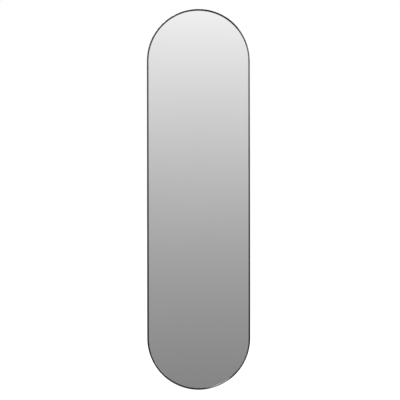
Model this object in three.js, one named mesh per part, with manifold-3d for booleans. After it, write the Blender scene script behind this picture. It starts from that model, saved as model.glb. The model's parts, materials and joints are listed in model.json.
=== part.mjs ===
// Pull-out closet mirror: a full-length stadium-shaped mirror in a slim metal frame, stowed flat against
// a closet side panel. Two full-extension ball-bearing rails carry it out of the closet, and a vertical
// hinge at its front edge then lets it swing round to face the user.
//
// Millimetres, +Z up. X is the pull-out direction (+X out of the closet), and the mirror looks along -Y.
// The origin is the middle of the wall plate's back face, the face that is screwed to the closet panel.

import * as THREE from 'three';
import { mergeVertices } from 'three/addons/utils/BufferGeometryUtils.js';
import Module from 'manifold-3d';

const wasm = await Module();
wasm.setup();

// Sizes of the finished mirror and of the panes that are stacked in its frame
const mirror = { width: 330, height: 1219 };
const glass = { thick: 4 };
const seal = { setback: 0.4, thick: 0.8 };
const tape = { width: 25, thick: 1, pitchShare: 0.26, endMargin: 40 };
const board = { thick: 9 };
const pane = { edgeGap: 1.8 };

// Slim frame section: a front lip crowned towards the glass, a side wall, and a rear bead that the
// retaining clips hook under
const frame = {
  lipWidth: 5.4, lipThick: 1.6, lipRound: 0.35, corner: 2,
  wall: 1.4, beadReach: 1.4, beadThick: 0.9, rearRound: 0.3, rearRecess: 2,
};
const clip = { thick: 0.8, width: 14, length: 17, corner: 2, noseGap: 0.6, screwInset: 6, sidePitch: 300 };
const clipScrew = { headRadius: 3, headHeight: 1.1, crown: 0.4, shankRadius: 1.5, bite: 6 };

// Telescopic rail section, bent from sheet round two rows of balls
const rail = { length: 300, height: 46, sheet: 1.2, spacing: 200, travel: 280, rearInset: 4, lipTail: 1.2 };
const race = { ballRadius: 2, gap: 0.3, retainerSheet: 0.4, stripMargin: 0.5, tightBend: 0.2, wideBend: 1 };
const retainer = { length: 140, ballsPerRow: 5, ballPitch: 30 };
const railHole = { radius: 4, pitch: 90 };
const stopBlock = { width: 24, corner: 2, travelGap: 0.4 };

// Wall plate with folded edges, two windows and six slots for the panel screws
const plate = {
  thick: 2, flange: 10, bend: 2, edgeMargin: 16, rib: 40, border: 30, windowMargin: 22, corner: 12,
};
const slot = { length: 13, width: 5.5, setback: 21, inset: 22 };

// Flush rivets that hold the outer rails on the plate, countersunk in its back
const rivet = { headRadius: 4, sink: 1.5, shankRadius: 2.5, inset: 40, holeGap: 0.3 };

// Carriage spine that ties the two inner rails together and carries the hinge post in its two ears
const spine = { thick: 2, width: 60, flange: 8, bend: 2, earReach: 27, earRoot: 30, corner: 5 };
const spineWindow = { width: 26, height: 90 };
const spineScrew = { inset: 14, rearInset: 16 };

// Vertical hinge at the mirror's front edge
const hinge = {
  setback: 3, overhang: 18, barrelRadius: 7, barrelGap: 1.5, knuckle: 50, runGap: 0.3, noseGap: 0.4,
};
const post = { radius: 4, headRadius: 6, headHeight: 3, crownShare: 0.8, tailRadius: 3, tailLength: 9 };
const bush = { wall: 0.9, length: 12, flangeRadius: 6.4, flangeThick: 1 };
const washer = { radius: 6, thick: 1 };
const nut = { acrossFlats: 10, height: 5.5, collar: 1.5, collarRadius: 4.4 };
const leaf = { thick: 2, width: 60, corner: 5, screwInset: 12 };

// Screws that hold the leaf to the board and the rails to the spine, and the stow buffers with theirs
const screw = {
  headRadius: 4, headHeight: 2.2, crown: 0.7, shankRadius: 2, holeGap: 0.3, boardBite: 7, railBite: 2.5,
};
const buffer = {
  baseRadius: 8, tipRadius: 6.5, edgeInset: 40, railMargin: 12, recessGap: 0.6, floor: 4, tipGap: 0.3,
};

// Counts of facets
const arcSteps = 28;
const roundSteps = 16;
const screwSteps = 8;
const ballSteps = { around: 6, down: 4 };
const bendSteps = 3;
const raceSteps = 6;

// One overrun serves every cut that has to come out past a face
const overrun = 1;

// Angles of the rail section, seen from the ball centres, and the lean of the lip's inner edge
const degree = Math.PI / 180;
const raceAngle = {
  flangeEnd: 30 * degree, crest: 75 * degree, crossover: 45 * degree, innerCrest: 65 * degree,
  innerEnd: 215 * degree,
};
const lipLean = 17 * degree;

// Places along the depth, counted along Y from the panel's face at zero towards the user
const sheetCentre = race.ballRadius + race.gap + rail.sheet / 2;
const tightCrest = rail.sheet / 2 + race.tightBend;
const wideCrest = rail.sheet / 2 + race.wideBend;
const section = railSection();
const railBack = -plate.thick;
const railFront = railBack - section.thick;
const spineFront = railFront - spine.thick;
const axisY = spineFront - hinge.barrelGap - hinge.barrelRadius;
const boardBack = axisY - hinge.barrelRadius;
const boardFront = boardBack - board.thick;
const glassBack = boardFront - tape.thick;
const glassFront = glassBack - glass.thick;
const lipBack = glassFront - seal.thick;
const frameFront = lipBack - frame.lipThick;
const frameRear = boardBack + frame.rearRecess;

// Places along the pull-out direction
const railEnd = rail.length / 2;
const innerRailRear = -railEnd + rail.rearInset;
const axisX = railEnd - hinge.setback;
const mirrorEdge = axisX + hinge.overhang;
const mirrorMiddle = mirrorEdge - mirror.width / 2;
const leafFront = axisX - hinge.barrelRadius - hinge.runGap;
const leafRear = axisX - leaf.width;

// Heights
const railRise = rail.spacing / 2;
const slotRise = railRise + rail.height / 2 + slot.setback;
const plateRise = slotRise + plate.edgeMargin;
const spineRise = railRise + rail.height / 2 + spine.earReach;
const earInner = spineRise - spine.thick;
const knuckleEnd = earInner - 2 * hinge.runGap - washer.thick - bush.flangeThick;
const knuckleStart = knuckleEnd - hinge.knuckle;
const straightRise = (mirror.height - mirror.width) / 2;

// Radii of the concentric hinge parts, and the inset of the panes from the mirror's outer edge
const bushBore = post.radius + hinge.runGap;
const bushRadius = bushBore + bush.wall;
const knuckleBore = bushRadius + hinge.runGap;
const earNose = hinge.barrelRadius - hinge.noseGap;
const paneInset = frame.wall + pane.edgeGap;

// Finishes
const finish = {
  frame: new THREE.MeshStandardMaterial({ color: 0x4a4a4d, roughness: 0.12, metalness: 1 }),
  mirror: new THREE.MeshStandardMaterial({ color: 0xe6e9e9, roughness: 0.02, metalness: 1 }),
  rubber: new THREE.MeshStandardMaterial({ color: 0x1c1c1c, roughness: 0.85, metalness: 0 }),
  tape: new THREE.MeshStandardMaterial({ color: 0xe2e0d8, roughness: 0.9, metalness: 0 }),
  board: new THREE.MeshStandardMaterial({ color: 0x2b2b2c, roughness: 0.75, metalness: 0 }),
  zinc: new THREE.MeshStandardMaterial({ color: 0xb9bdc2, roughness: 0.35, metalness: 1 }),
  steel: new THREE.MeshStandardMaterial({ color: 0xd0d2d4, roughness: 0.2, metalness: 1 }),
  painted: new THREE.MeshStandardMaterial({ color: 0x5c5e61, roughness: 0.55, metalness: 0.4 }),
  nylon: new THREE.MeshStandardMaterial({ color: 0xe9e6dc, roughness: 0.5, metalness: 0 }),
  plastic: new THREE.MeshStandardMaterial({ color: 0x232324, roughness: 0.5, metalness: 0 }),
};

// Closed solid of a geometry, for cutting and joining
function solidOf(geometry) {
  const bare = geometry.index ? geometry.toNonIndexed() : geometry.clone();
  for (const name of Object.keys(bare.attributes)) if (name !== 'position') bare.deleteAttribute(name);
  const merged = mergeVertices(bare);
  return new wasm.Manifold(new wasm.Mesh({
    numProp: 3,
    vertProperties: merged.attributes.position.array,
    triVerts: new Uint32Array(merged.index.array),
  }));
}

function geometryOf(solid) {
  const mesh = solid.getMesh();
  const geometry = new THREE.BufferGeometry();
  geometry.setAttribute('position', new THREE.BufferAttribute(mesh.vertProperties, 3));
  geometry.setIndex(new THREE.BufferAttribute(mesh.triVerts, 1));
  geometry.computeVertexNormals();
  return geometry;
}

function cut(body, ...tools) {
  return geometryOf(tools.reduce((rest, tool) => rest.subtract(solidOf(tool)), solidOf(body)));
}

function join(first, ...others) {
  return geometryOf(others.reduce((whole, other) => whole.add(solidOf(other)), solidOf(first)));
}

function place(name, geometry, material, x = 0, y = 0, z = 0) {
  const mesh = new THREE.Mesh(geometry, material);
  mesh.name = name;
  mesh.position.set(x, y, z);
  return mesh;
}

// A shape drawn as seen from the front, in X and Z, its back at y = 0 and its thickness towards -Y
function flatPart(shape, thick) {
  return new THREE.ExtrudeGeometry(shape, { depth: thick, bevelEnabled: false }).rotateX(Math.PI / 2);
}

// A section drawn in Y and Z, run along X from x = 0
function longPart(shape, length) {
  const along = new THREE.Matrix4().makeBasis(
    new THREE.Vector3(0, 1, 0), new THREE.Vector3(0, 0, 1), new THREE.Vector3(1, 0, 0));
  return new THREE.ExtrudeGeometry(shape, { depth: length, bevelEnabled: false }).applyMatrix4(along);
}

// A plan drawn in X and Y, with its thickness upwards from z = 0
function levelPart(shape, thick) {
  return new THREE.ExtrudeGeometry(shape, { depth: thick, bevelEnabled: false });
}

// Turned parts: outlines are radius and distance along the axis
function turnedAlongY(outline, steps) {
  return new THREE.LatheGeometry(outline.map(([radius, along]) => new THREE.Vector2(radius, along)), steps);
}

function turnedAlongZ(outline, steps) {
  return turnedAlongY(outline, steps).rotateX(Math.PI / 2);
}

function ringOutline(bore, radius, low, high) {
  return [[bore, low], [radius, low], [radius, high], [bore, high], [bore, low]];
}

function cylinderOutline(radius, low, high) {
  return [[0, low], [radius, low], [radius, high], [0, high]];
}

function roundedRectangle(left, right, low, high, corner) {
  const shape = new THREE.Shape();
  shape.absarc(right - corner, low + corner, corner, -Math.PI / 2, 0);
  shape.absarc(right - corner, high - corner, corner, 0, Math.PI / 2);
  shape.absarc(left + corner, high - corner, corner, Math.PI / 2, Math.PI);
  shape.absarc(left + corner, low + corner, corner, Math.PI, Math.PI * 1.5);
  return new THREE.Shape(shape.getPoints(bendSteps));
}

function arc(centre, radius, from, to, steps) {
  return Array.from({ length: steps + 1 }, (_, i) => {
    const angle = from + (to - from) * i / steps;
    return new THREE.Vector2(centre.x + radius * Math.cos(angle), centre.y + radius * Math.sin(angle));
  });
}

// Outline of bent sheet: its centre line moved half the thickness to either side
function sheetOutline(line, thick) {
  const side = (sign) => line.map((point, i) => {
    const arriving = point.clone().sub(line[Math.max(i - 1, 0)]).normalize();
    const leaving = line[Math.min(i + 1, line.length - 1)].clone().sub(point).normalize();
    const run = arriving.clone().add(leaving).normalize();
    const stretch = i > 0 && i < line.length - 1 ? run.dot(leaving) : 1;
    return new THREE.Vector2(-run.y, run.x).multiplyScalar(sign * thick / 2 / stretch).add(point);
  });
  return [...side(1), ...side(-1).reverse()];
}

// The rail section. Points are (distance from the rail's back, height above its middle), upper half only;
// each centre line runs from the web to the lip.
function railSection() {
  const outerWeb = rail.sheet / 2;
  const firstRetainerWeb = rail.sheet + race.gap + race.retainerSheet / 2;
  const middleWeb = firstRetainerWeb + race.retainerSheet / 2 + race.gap + rail.sheet / 2;
  const secondRetainerWeb = middleWeb + rail.sheet / 2 + race.gap + race.retainerSheet / 2;
  const fromCrest = tightCrest + sheetCentre;
  const firstBall = new THREE.Vector2(
    middleWeb + tightCrest + fromCrest * Math.cos(raceAngle.crest),
    rail.height / 2 - sheetCentre - rail.sheet / 2);
  const middleCrest = new THREE.Vector2(
    middleWeb + tightCrest, firstBall.y - fromCrest * Math.sin(raceAngle.crest));
  const secondBall = new THREE.Vector2(
    firstBall.x + 2 * sheetCentre * Math.cos(raceAngle.crossover),
    firstBall.y - 2 * sheetCentre * Math.sin(raceAngle.crossover));
  const innerCrest = new THREE.Vector2(
    secondBall.x + (sheetCentre + wideCrest) * Math.cos(raceAngle.innerCrest),
    secondBall.y - (sheetCentre + wideCrest) * Math.sin(raceAngle.innerCrest));
  const innerWeb = innerCrest.x + wideCrest;

  const flangeHeight = firstBall.y + sheetCentre * Math.sin(raceAngle.flangeEnd);
  const flangeEnd = firstBall.x + sheetCentre * Math.cos(raceAngle.flangeEnd);
  const outer = [
    ...arc(new THREE.Vector2(outerWeb + tightCrest, flangeHeight - tightCrest), tightCrest,
      Math.PI, Math.PI / 2, bendSteps),
    ...arc(firstBall, sheetCentre, Math.PI - raceAngle.flangeEnd, raceAngle.flangeEnd, raceSteps),
    new THREE.Vector2(flangeEnd + rail.lipTail, flangeHeight),
  ];
  const middle = [
    ...arc(middleCrest, tightCrest, Math.PI, raceAngle.crest, bendSteps),
    ...arc(firstBall, sheetCentre, Math.PI + raceAngle.crest, 2 * Math.PI - raceAngle.crossover,
      raceSteps).slice(1),
    ...arc(secondBall, sheetCentre, Math.PI - raceAngle.crossover, raceAngle.flangeEnd, raceSteps).slice(1),
  ];
  const inner = [
    ...arc(innerCrest, wideCrest, 0, Math.PI - raceAngle.innerCrest, bendSteps),
    ...arc(secondBall, sheetCentre, 2 * Math.PI - raceAngle.innerCrest, raceAngle.innerEnd,
      raceSteps).slice(1),
  ];
  const strip = (web, ball) => [
    new THREE.Vector2(web, ball.y), new THREE.Vector2(ball.x + race.ballRadius + race.stripMargin, ball.y)];
  return {
    outer, middle, inner, firstBall, secondBall,
    firstRetainer: strip(firstRetainerWeb, firstBall),
    secondRetainer: strip(secondRetainerWeb, secondBall),
    thick: innerWeb + rail.sheet / 2,
  };
}

// Both halves of a section's centre line, thickened and turned so that its back faces the panel
function railShape(upperHalf, sheet) {
  const upper = upperHalf.map((point) => new THREE.Vector2(-point.x, point.y));
  const lower = upper.map((point) => new THREE.Vector2(point.x, -point.y)).reverse();
  return new THREE.Shape(sheetOutline([...lower, ...upper], sheet));
}

// Holes through a rail's web, along Y, at places that are counted from the rail's rear end
function webHoles(places, radius) {
  return places.map((x) => turnedAlongY(
    cylinderOutline(radius, -section.thick - overrun, overrun), screwSteps).translate(x, 0, 0));
}

function outerRail() {
  return cut(longPart(railShape(section.outer, rail.sheet), rail.length),
    ...webHoles([rivet.inset, rail.length - rivet.inset], rivet.shankRadius + rivet.holeGap));
}

function middleRail() {
  const length = rail.length - rail.rearInset;
  const places = [-1, 0, 1].map((i) => length / 2 + i * railHole.pitch);
  return cut(longPart(railShape(section.middle, rail.sheet), length), ...webHoles(places, railHole.radius));
}

function innerRail() {
  const places = [...spineScrewPlaces(), bufferPlace()].map((x) => x - innerRailRear);
  return cut(longPart(railShape(section.inner, rail.sheet), rail.length - rail.rearInset),
    ...webHoles(places, screw.shankRadius + screw.holeGap));
}

// Ball retainer: a channel of thin strip that holds its two rows of balls, drawn about its own middle
function ballRetainer(strip, ball) {
  const channel = longPart(railShape(strip, race.retainerSheet), retainer.length)
    .translate(-retainer.length / 2, 0, 0);
  const balls = [];
  for (let i = 0; i < retainer.ballsPerRow; i++) {
    const x = (i - (retainer.ballsPerRow - 1) / 2) * retainer.ballPitch;
    for (const height of [ball.y, -ball.y]) {
      balls.push(new THREE.SphereGeometry(race.ballRadius, ballSteps.around, ballSteps.down)
        .translate(x, -ball.x, height));
    }
  }
  return join(channel, ...balls);
}

// With the rails drawn out, a retainer stands in the middle of the stretch where its two rails overlap
function retainerPlace() {
  const overlapMiddle = (railEnd + innerRailRear + rail.travel / 2) / 2;
  return overlapMiddle - rail.travel / 4;
}

// Moulded block in the outer rail's rear end, which the moving rails close against
function railStop() {
  const half = stopBlock.width / 2;
  return longPart(roundedRectangle(rail.sheet - section.thick, 0, -half, half, stopBlock.corner),
    rail.rearInset - stopBlock.travelGap);
}

function spineScrewPlaces() {
  return [railEnd - spine.width + spineScrew.rearInset, railEnd - spineScrew.inset];
}

// The buffers sit on the rails as near to the mirror's rear edge as the rails reach
function bufferPlace() {
  return Math.max(mirrorEdge - mirror.width + buffer.edgeInset, innerRailRear + buffer.railMargin);
}

function slotTool() {
  const half = (slot.length - slot.width) / 2;
  const shape = new THREE.Shape([
    ...arc(new THREE.Vector2(half, 0), slot.width / 2, -Math.PI / 2, Math.PI / 2, raceSteps),
    ...arc(new THREE.Vector2(-half, 0), slot.width / 2, Math.PI / 2, Math.PI * 1.5, raceSteps),
  ]);
  return flatPart(shape, plate.thick + 2 * overrun).translate(0, overrun, 0);
}

// Rivet with its head flush with the plate's back at y = 0 and its end flush with the rail's web
function railRivet() {
  return turnedAlongY([
    [0, -plate.thick - rail.sheet], [rivet.shankRadius, -plate.thick - rail.sheet],
    [rivet.shankRadius, -rivet.sink], [rivet.headRadius, 0], [0, 0],
  ], screwSteps);
}

// Countersunk hole for a rivet, wider than the rivet all round by the hole gap
function rivetHole() {
  const throat = rivet.shankRadius + rivet.holeGap;
  const mouth = rivet.headRadius + rivet.holeGap;
  return turnedAlongY([
    [0, -plate.thick - overrun], [throat, -plate.thick - overrun], [throat, -rivet.sink], [mouth, 0],
    [mouth, overrun], [0, overrun],
  ], screwSteps);
}

function rivetPlaces() {
  return [-railEnd + rivet.inset, railEnd - rivet.inset];
}

// Wall plate: a channel with its upper and lower edges folded forward, pierced by windows, slots and holes
function wallPlate() {
  const web = -plate.thick / 2;
  const edge = plateRise - plate.thick / 2;
  const fold = plate.bend + plate.thick / 2;
  const upper = [
    ...arc(new THREE.Vector2(web - fold, edge - fold), fold, 0, Math.PI / 2, bendSteps),
    new THREE.Vector2(-plate.flange, edge),
  ];
  const lower = upper.map((point) => new THREE.Vector2(point.x, -point.y)).reverse();
  const channel = longPart(new THREE.Shape(sheetOutline([...lower, ...upper], plate.thick)), rail.length)
    .translate(-railEnd, 0, 0);
  const windowRise = railRise - rail.height / 2 - plate.windowMargin;
  const windows = [-1, 1].map((side) => {
    const [left, right] = [side * plate.rib / 2, side * (railEnd - plate.border)]
      .sort((a, b) => a - b);
    return flatPart(roundedRectangle(left, right, -windowRise, windowRise, plate.corner),
      plate.thick + 2 * overrun).translate(0, overrun, 0);
  });
  const columns = [-railEnd + slot.inset, 0, railEnd - slot.inset];
  const slots = columns.flatMap((x) => [-slotRise, slotRise].map((z) => slotTool().translate(x, 0, z)));
  const holes = rivetPlaces().flatMap((x) => [-railRise, railRise].map((z) => rivetHole().translate(x, 0, z)));
  return cut(channel, ...windows, ...slots, ...holes);
}

// Spine: a channel with its rear edge folded forward, an ear at either end, and holes for the rail screws
function carriageSpine() {
  const rear = railEnd - spine.width;
  const face = spine.thick / 2;
  const fold = spine.bend + face;
  const plan = new THREE.Shape(sheetOutline([
    new THREE.Vector2(railEnd, railFront - face),
    ...arc(new THREE.Vector2(rear + face + fold, railFront - face - fold), fold,
      Math.PI / 2, Math.PI, bendSteps),
    new THREE.Vector2(rear + face, railFront - spine.flange),
  ], spine.thick));
  const channel = levelPart(plan, 2 * spineRise).translate(0, 0, -spineRise);
  const ears = [earInner, -spineRise].map((z) => levelPart(earPlan(), spine.thick).translate(0, 0, z));
  const bore = screw.shankRadius + screw.holeGap;
  const holes = spineScrewPlaces().flatMap((x) => [-railRise, railRise].map((z) => turnedAlongY(
    cylinderOutline(bore, spineFront - overrun, railFront + overrun), screwSteps).translate(x, 0, z)));
  const middle = railEnd - spine.width / 2;
  const window = flatPart(roundedRectangle(middle - spineWindow.width / 2, middle + spineWindow.width / 2,
    -spineWindow.height / 2, spineWindow.height / 2, spine.corner), spine.thick + 2 * overrun)
    .translate(0, railFront + overrun, 0);
  return cut(join(channel, ...ears), ...holes, window);
}

// An ear runs from the spine's sheet, along a tangent, to a round nose about the hinge axis
function earPlan() {
  const axis = new THREE.Vector2(axisX, axisY);
  const root = railFront - spine.thick / 2;
  const rearRoot = new THREE.Vector2(railEnd - spine.earRoot, root);
  const frontRoot = new THREE.Vector2(railEnd, root);
  const toAxis = axis.clone().sub(rearRoot);
  const tangent = Math.atan2(toAxis.y, toAxis.x) - Math.asin(earNose / toAxis.length()) - Math.PI / 2;
  const shape = new THREE.Shape([rearRoot, ...arc(axis, earNose, tangent, 0, roundSteps / 2), frontRoot]);
  shape.holes.push(new THREE.Path(arc(axis, bushBore, 0, 2 * Math.PI, roundSteps).slice(0, -1)));
  return shape;
}

// Post with a round head above the upper ear and a reduced, threaded tail below the lower one
function hingePost() {
  const headTop = spineRise + post.headHeight;
  return turnedAlongZ([
    [0, -spineRise - post.tailLength], [post.tailRadius, -spineRise - post.tailLength],
    [post.tailRadius, -spineRise], [post.radius, -spineRise], [post.radius, spineRise],
    [post.headRadius, spineRise], [post.headRadius, spineRise + post.headHeight / 2],
    [post.headRadius * post.crownShare, headTop], [0, headTop],
  ], roundSteps);
}

// Hexagon nut with a round locking collar on its lower end, drawn downwards from its seat at z = 0
function lockNut() {
  const polygon = (radius, sides) => arc(new THREE.Vector2(), radius, 0, 2 * Math.PI, sides).slice(0, -1);
  const bore = new THREE.Path(polygon(post.tailRadius + hinge.runGap, roundSteps));
  const hexagon = new THREE.Shape(polygon(nut.acrossFlats / 2 / Math.cos(Math.PI / 6), 6));
  const collar = new THREE.Shape(polygon(nut.collarRadius, roundSteps));
  hexagon.holes.push(bore);
  collar.holes.push(bore);
  return join(
    levelPart(hexagon, nut.height - nut.collar).translate(0, 0, nut.collar - nut.height),
    levelPart(collar, nut.height).translate(0, 0, -nut.height));
}

function thrustWasher() {
  return turnedAlongZ(ringOutline(bushBore, washer.radius, 0, washer.thick), roundSteps);
}

// Flanged bush: the flange lies on the knuckle's end at z = 0 and the sleeve reaches down into its bore
function hingeBush() {
  return turnedAlongZ([
    [bushBore, -bush.length], [bushRadius, -bush.length], [bushRadius, 0], [bush.flangeRadius, 0],
    [bush.flangeRadius, bush.flangeThick], [bushBore, bush.flangeThick], [bushBore, -bush.length],
  ], roundSteps);
}

function leafScrewPlaces() {
  const rise = knuckleEnd - leaf.screwInset;
  const columns = [leafRear + leaf.screwInset, leafFront - leaf.screwInset];
  return columns.flatMap((x) => [-rise, 0, rise].map((z) => ({ x, z })));
}

// Leaf: a flat plate on the board's back whose two tongues roll up into the knuckles
function hingeLeaf() {
  const outline = roundedRectangle(leafRear, leafFront, -knuckleEnd, knuckleEnd, leaf.corner);
  const tongues = [knuckleStart, -knuckleEnd].map((z) => new THREE.BoxGeometry(
    axisX - leafFront + leaf.corner, leaf.thick, hinge.knuckle)
    .translate((axisX + leafFront - leaf.corner) / 2, -leaf.thick / 2, z + hinge.knuckle / 2));
  const barrels = [knuckleStart, -knuckleEnd].map((z) => turnedAlongZ(
    cylinderOutline(hinge.barrelRadius, z, z + hinge.knuckle), roundSteps)
    .translate(axisX, hinge.barrelRadius - leaf.thick, 0));
  const bores = [knuckleStart, -knuckleEnd].map((z) => turnedAlongZ(
    cylinderOutline(knuckleBore, z - overrun, z + hinge.knuckle + overrun), roundSteps)
    .translate(axisX, hinge.barrelRadius - leaf.thick, 0));
  const holes = leafScrewPlaces().map(({ x, z }) => turnedAlongY(
    cylinderOutline(screw.shankRadius + screw.holeGap, -leaf.thick - overrun, overrun), screwSteps)
    .translate(x, 0, z));
  return cut(join(flatPart(outline, leaf.thick), ...tongues, ...barrels), ...bores, ...holes);
}

// Domed screw with its head's seat at y = 0, its head towards +Y and its shank towards -Y
function domedScrew(size, length) {
  return turnedAlongY([
    [0, -length], [size.shankRadius, -length], [size.shankRadius, 0], [size.headRadius, 0],
    [size.headRadius, size.headHeight - size.crown],
    [(size.headRadius + size.shankRadius) / 2, size.headHeight], [0, size.headHeight],
  ], screwSteps);
}

function bufferHeight() {
  return railFront - boardBack - buffer.tipGap;
}

// Rubber buffer with its base at y = 0, its tip towards -Y, and a recess that sinks the screw's head
function stowBuffer() {
  const recess = screw.headRadius + buffer.recessGap;
  const bore = screw.shankRadius + screw.holeGap;
  return turnedAlongY([
    [bore, -buffer.floor], [recess, -buffer.floor], [recess, -bufferHeight()],
    [buffer.tipRadius, -bufferHeight()], [buffer.baseRadius, 0], [bore, 0], [bore, -buffer.floor],
  ], roundSteps);
}

// Stadium outline about the mirror's middle, drawn the given distance inside its outer edge
function stadium(inset) {
  const radius = mirror.width / 2 - inset;
  return new THREE.Shape([
    ...arc(new THREE.Vector2(0, straightRise), radius, 0, Math.PI, arcSteps),
    ...arc(new THREE.Vector2(0, -straightRise), radius, Math.PI, 2 * Math.PI, arcSteps),
  ]);
}

function slab(inset, back, front) {
  return flatPart(stadium(inset), back - front).translate(0, back, 0);
}

// Frame section as (distance inside the mirror's outer edge, distance behind its front): the round outer
// corner, the crowned lip, the lip's eased inner edge, the hollow that holds the panes, and the bead
function frameSection() {
  const depth = frameRear - frameFront;
  const beadEnd = frame.wall + frame.beadReach;
  const lean = Math.sin(lipLean);
  const crownRadius = (frame.lipWidth - frame.corner - frame.lipRound * (1 - lean)) / lean;
  const crown = arc(new THREE.Vector2(frame.corner, crownRadius), crownRadius,
    -Math.PI / 2, lipLean - Math.PI / 2, bendSteps);
  const edgeDepth = crown[bendSteps].y + frame.lipRound * Math.cos(lipLean);
  return [
    ...arc(new THREE.Vector2(frame.corner, frame.corner), frame.corner, Math.PI, Math.PI * 1.5, bendSteps),
    ...crown.slice(1),
    new THREE.Vector2(frame.lipWidth, edgeDepth),
    new THREE.Vector2(frame.lipWidth, frame.lipThick),
    new THREE.Vector2(frame.wall, frame.lipThick),
    new THREE.Vector2(frame.wall, depth - frame.beadThick),
    new THREE.Vector2(beadEnd, depth - frame.beadThick),
    new THREE.Vector2(beadEnd, depth - frame.rearRound),
    new THREE.Vector2(beadEnd - frame.rearRound, depth),
    new THREE.Vector2(frame.rearRound, depth),
    new THREE.Vector2(0, depth - frame.rearRound),
  ];
}

// Frame: the section carried once round the stadium outline, with the mirror's front at y = 0
function mirrorFrame() {
  const outline = frameSection();
  const stations = [1, -1].flatMap((side) => Array.from({ length: arcSteps + 1 }, (_, i) => (
    { angle: Math.PI * (i / arcSteps + (1 - side) / 2), rise: side * straightRise })));
  const positions = stations.flatMap(({ angle, rise }) => outline.flatMap(({ x: inset, y: depth }) => {
    const radius = mirror.width / 2 - inset;
    return [radius * Math.cos(angle), depth, rise + radius * Math.sin(angle)];
  }));
  const corner = (station, point) => (station % stations.length) * outline.length + point % outline.length;
  const faces = stations.flatMap((_, i) => outline.flatMap((__, j) => [
    corner(i, j), corner(i + 1, j + 1), corner(i, j + 1),
    corner(i, j), corner(i + 1, j), corner(i + 1, j + 1),
  ]));
  const geometry = new THREE.BufferGeometry();
  geometry.setAttribute('position', new THREE.Float32BufferAttribute(positions, 3));
  geometry.setIndex(faces);
  geometry.computeVertexNormals();
  return geometry;
}

function glassSeal() {
  return cut(slab(paneInset, 0, -seal.thick),
    slab(frame.lipWidth - seal.setback, overrun, -seal.thick - overrun));
}

// Clips stand at even steps along the straight sides and half-way round each quarter of the two ends
function clipPlaces() {
  const heights = [-clip.sidePitch, 0, clip.sidePitch];
  const sides = [0, Math.PI].flatMap((angle) => heights.map((z) => ({ angle, z })));
  const ends = [1, 3, 5, 7].map((i) => ({ angle: i * Math.PI / 4, z: (i < 4 ? 1 : -1) * straightRise }));
  return [...sides, ...ends];
}

// A point at a clip's angle, the given distance inside the mirror's outer edge
function clipPoint({ angle, z }, inset) {
  const radius = mirror.width / 2 - inset;
  return { x: radius * Math.cos(angle), z: z + radius * Math.sin(angle) };
}

// Retaining clip with its screw: nose at x = 0 under the frame's bead, flat on the board's back at y = 0
function retainingClip() {
  const half = clip.width / 2;
  const tongue = flatPart(roundedRectangle(-clip.length, 0, -half, half, clip.corner), clip.thick)
    .translate(0, clip.thick, 0);
  const fixing = domedScrew(clipScrew, clip.thick + clipScrew.bite)
    .translate(clip.screwInset - clip.length, clip.thick, 0);
  return join(tongue, fixing);
}

// Board, bored for the leaf's screws and the clips' screws
function backingBoard() {
  const bore = (radius, depth) => turnedAlongY(cylinderOutline(radius, -depth, overrun), screwSteps);
  const leafHoles = leafScrewPlaces().map(({ x, z }) => bore(screw.shankRadius + screw.holeGap,
    screw.boardBite + screw.holeGap).translate(x - mirrorMiddle, 0, z));
  const screwInset = frame.wall + clip.noseGap + clip.length - clip.screwInset;
  const clipHoles = clipPlaces().map((place) => clipPoint(place, screwInset)).map(({ x, z }) => bore(
    clipScrew.shankRadius + screw.holeGap, clipScrew.bite + screw.holeGap).translate(x, 0, z));
  return cut(slab(paneInset, 0, -board.thick), ...leafHoles, ...clipHoles);
}

// A strip of foam tape, as long as the pane is at the strip's outer edge, less a margin
function tapeStrip(x) {
  const radius = mirror.width / 2 - paneInset;
  const rise = straightRise + Math.sqrt(radius ** 2 - (Math.abs(x) + tape.width / 2) ** 2) - tape.endMargin;
  return new THREE.BoxGeometry(tape.width, tape.thick, 2 * rise);
}

// Parts that are screwed to the closet panel
function wallAssembly() {
  const group = new THREE.Group();
  group.add(place('wall_plate', wallPlate(), finish.painted));
  for (const [end, z] of slides) {
    group.add(place(`${end}_outer_rail`, outerRail(), finish.zinc, -railEnd, railBack, z));
    group.add(place(`${end}_rail_stop`, railStop(), finish.plastic, -railEnd, railBack - rail.sheet, z));
    rivetPlaces().forEach((x, i) => group.add(
      place(`${end}_${['rear', 'front'][i]}_rail_rivet`, railRivet(), finish.zinc, x, 0, z)));
  }
  return group;
}

// Parts of the two slides that travel part of the way
function runningParts() {
  const group = new THREE.Group();
  for (const [end, z] of slides) {
    group.add(place(`${end}_middle_rail`, middleRail(), finish.zinc, innerRailRear, railBack, z));
    group.add(place(`${end}_outer_ball_retainer`, ballRetainer(section.firstRetainer, section.firstBall),
      finish.steel, retainerPlace(), railBack, z));
    group.add(place(`${end}_inner_ball_retainer`, ballRetainer(section.secondRetainer, section.secondBall),
      finish.steel, retainerPlace(), railBack, z));
  }
  return group;
}

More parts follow.
